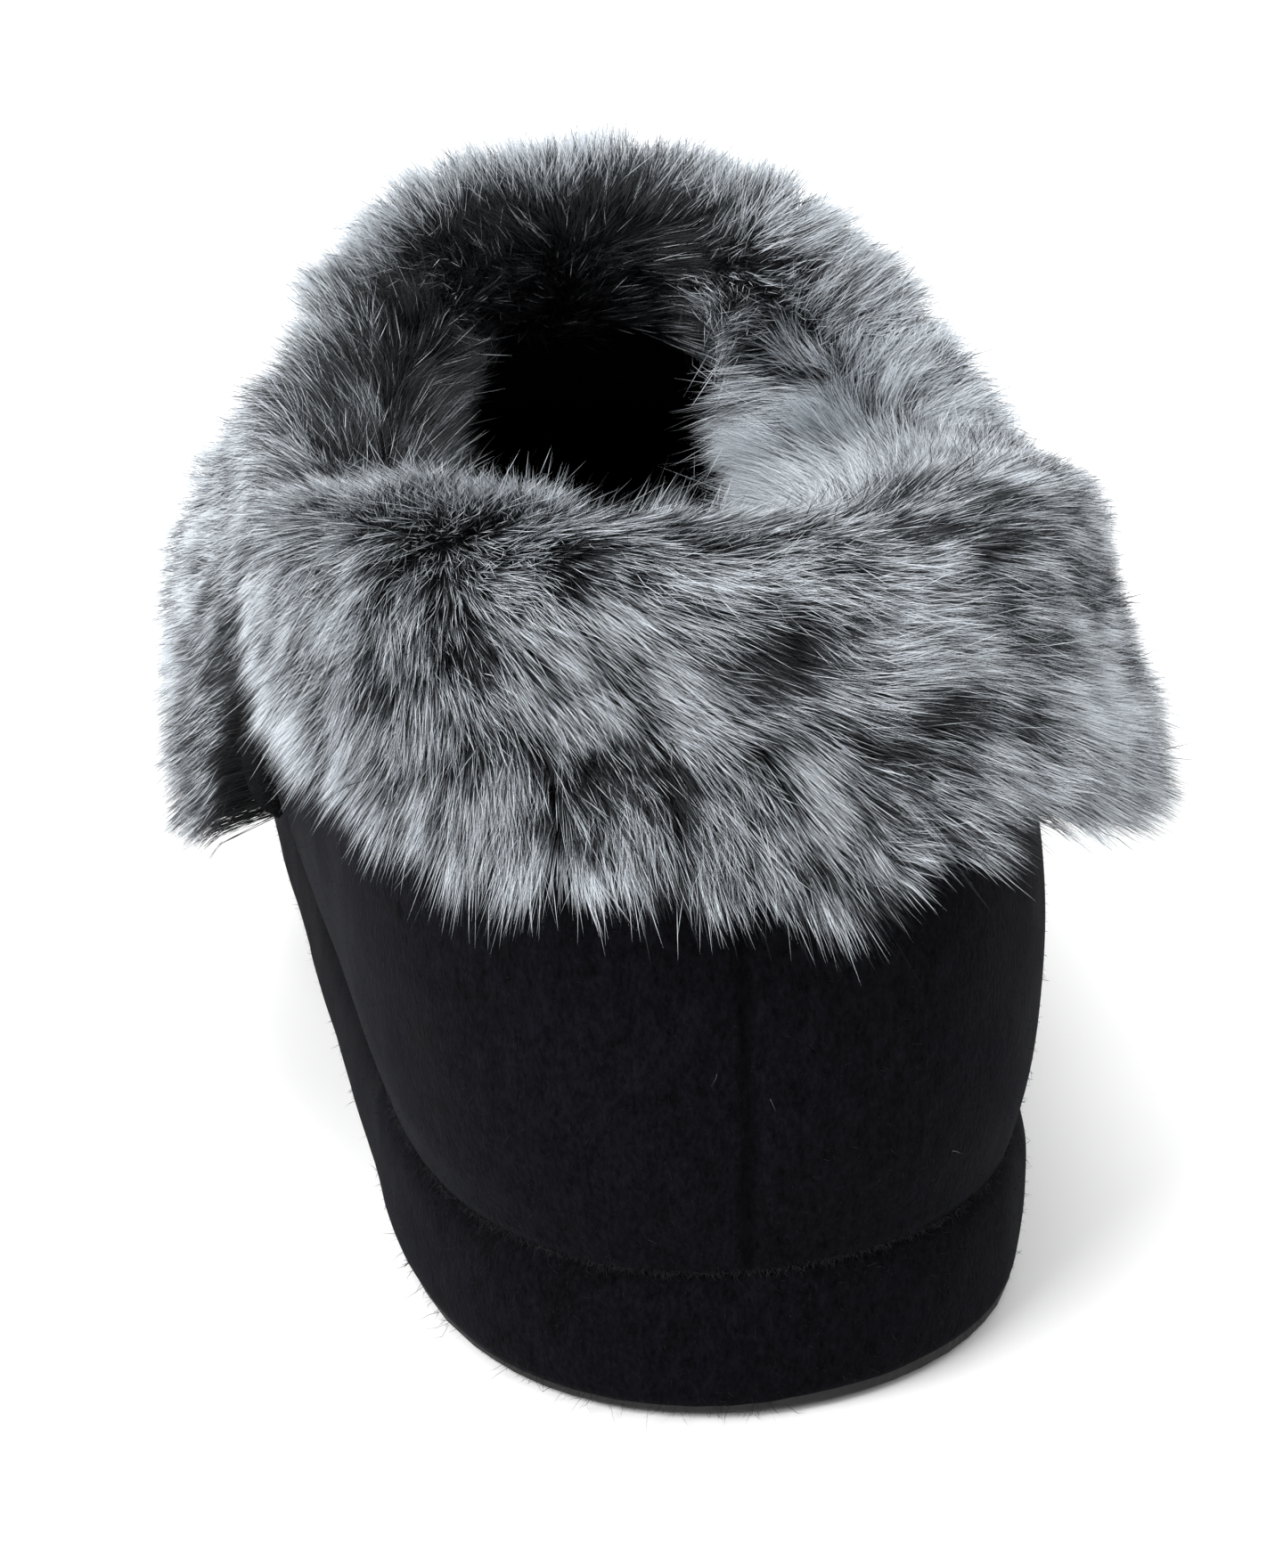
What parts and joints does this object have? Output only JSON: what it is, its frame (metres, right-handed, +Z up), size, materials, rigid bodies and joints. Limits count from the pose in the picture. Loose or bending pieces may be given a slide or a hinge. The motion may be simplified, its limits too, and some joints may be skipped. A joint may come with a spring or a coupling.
{
  "type": "fur-cuffed slipper",
  "caption": "Left closed-back house slipper with a hollow suede upper, a wrapped platform sole and a turned-down fur cuff; a foot goes in at the collar.",
  "frame": {"origin": "on the floor under the middle of the sole, on the outsole's underside", "axes": "+Y from heel to toe, +Z up, +X towards the inner side of the foot"},
  "size_m": [0.1254, 0.2756, 0.1144],
  "materials": {
    "outsole_rubber": "matte dark grey moulded rubber",
    "band_suede": "black suede-like cloth over foam",
    "insole_fabric": "black brushed cloth",
    "upper_suede": "black suede-like cloth with a short nap",
    "fur": "long-pile fur, black at the root and silver grey at the tip"
  },
  "bodies": {
    "root": {"outsole": "outsole_rubber", "midsole_band": "band_suede", "insole": "insole_fabric", "upper": "upper_suede", "cuff_back": "fur", "cuff_front": "fur"}
  },
  "joints": []
}
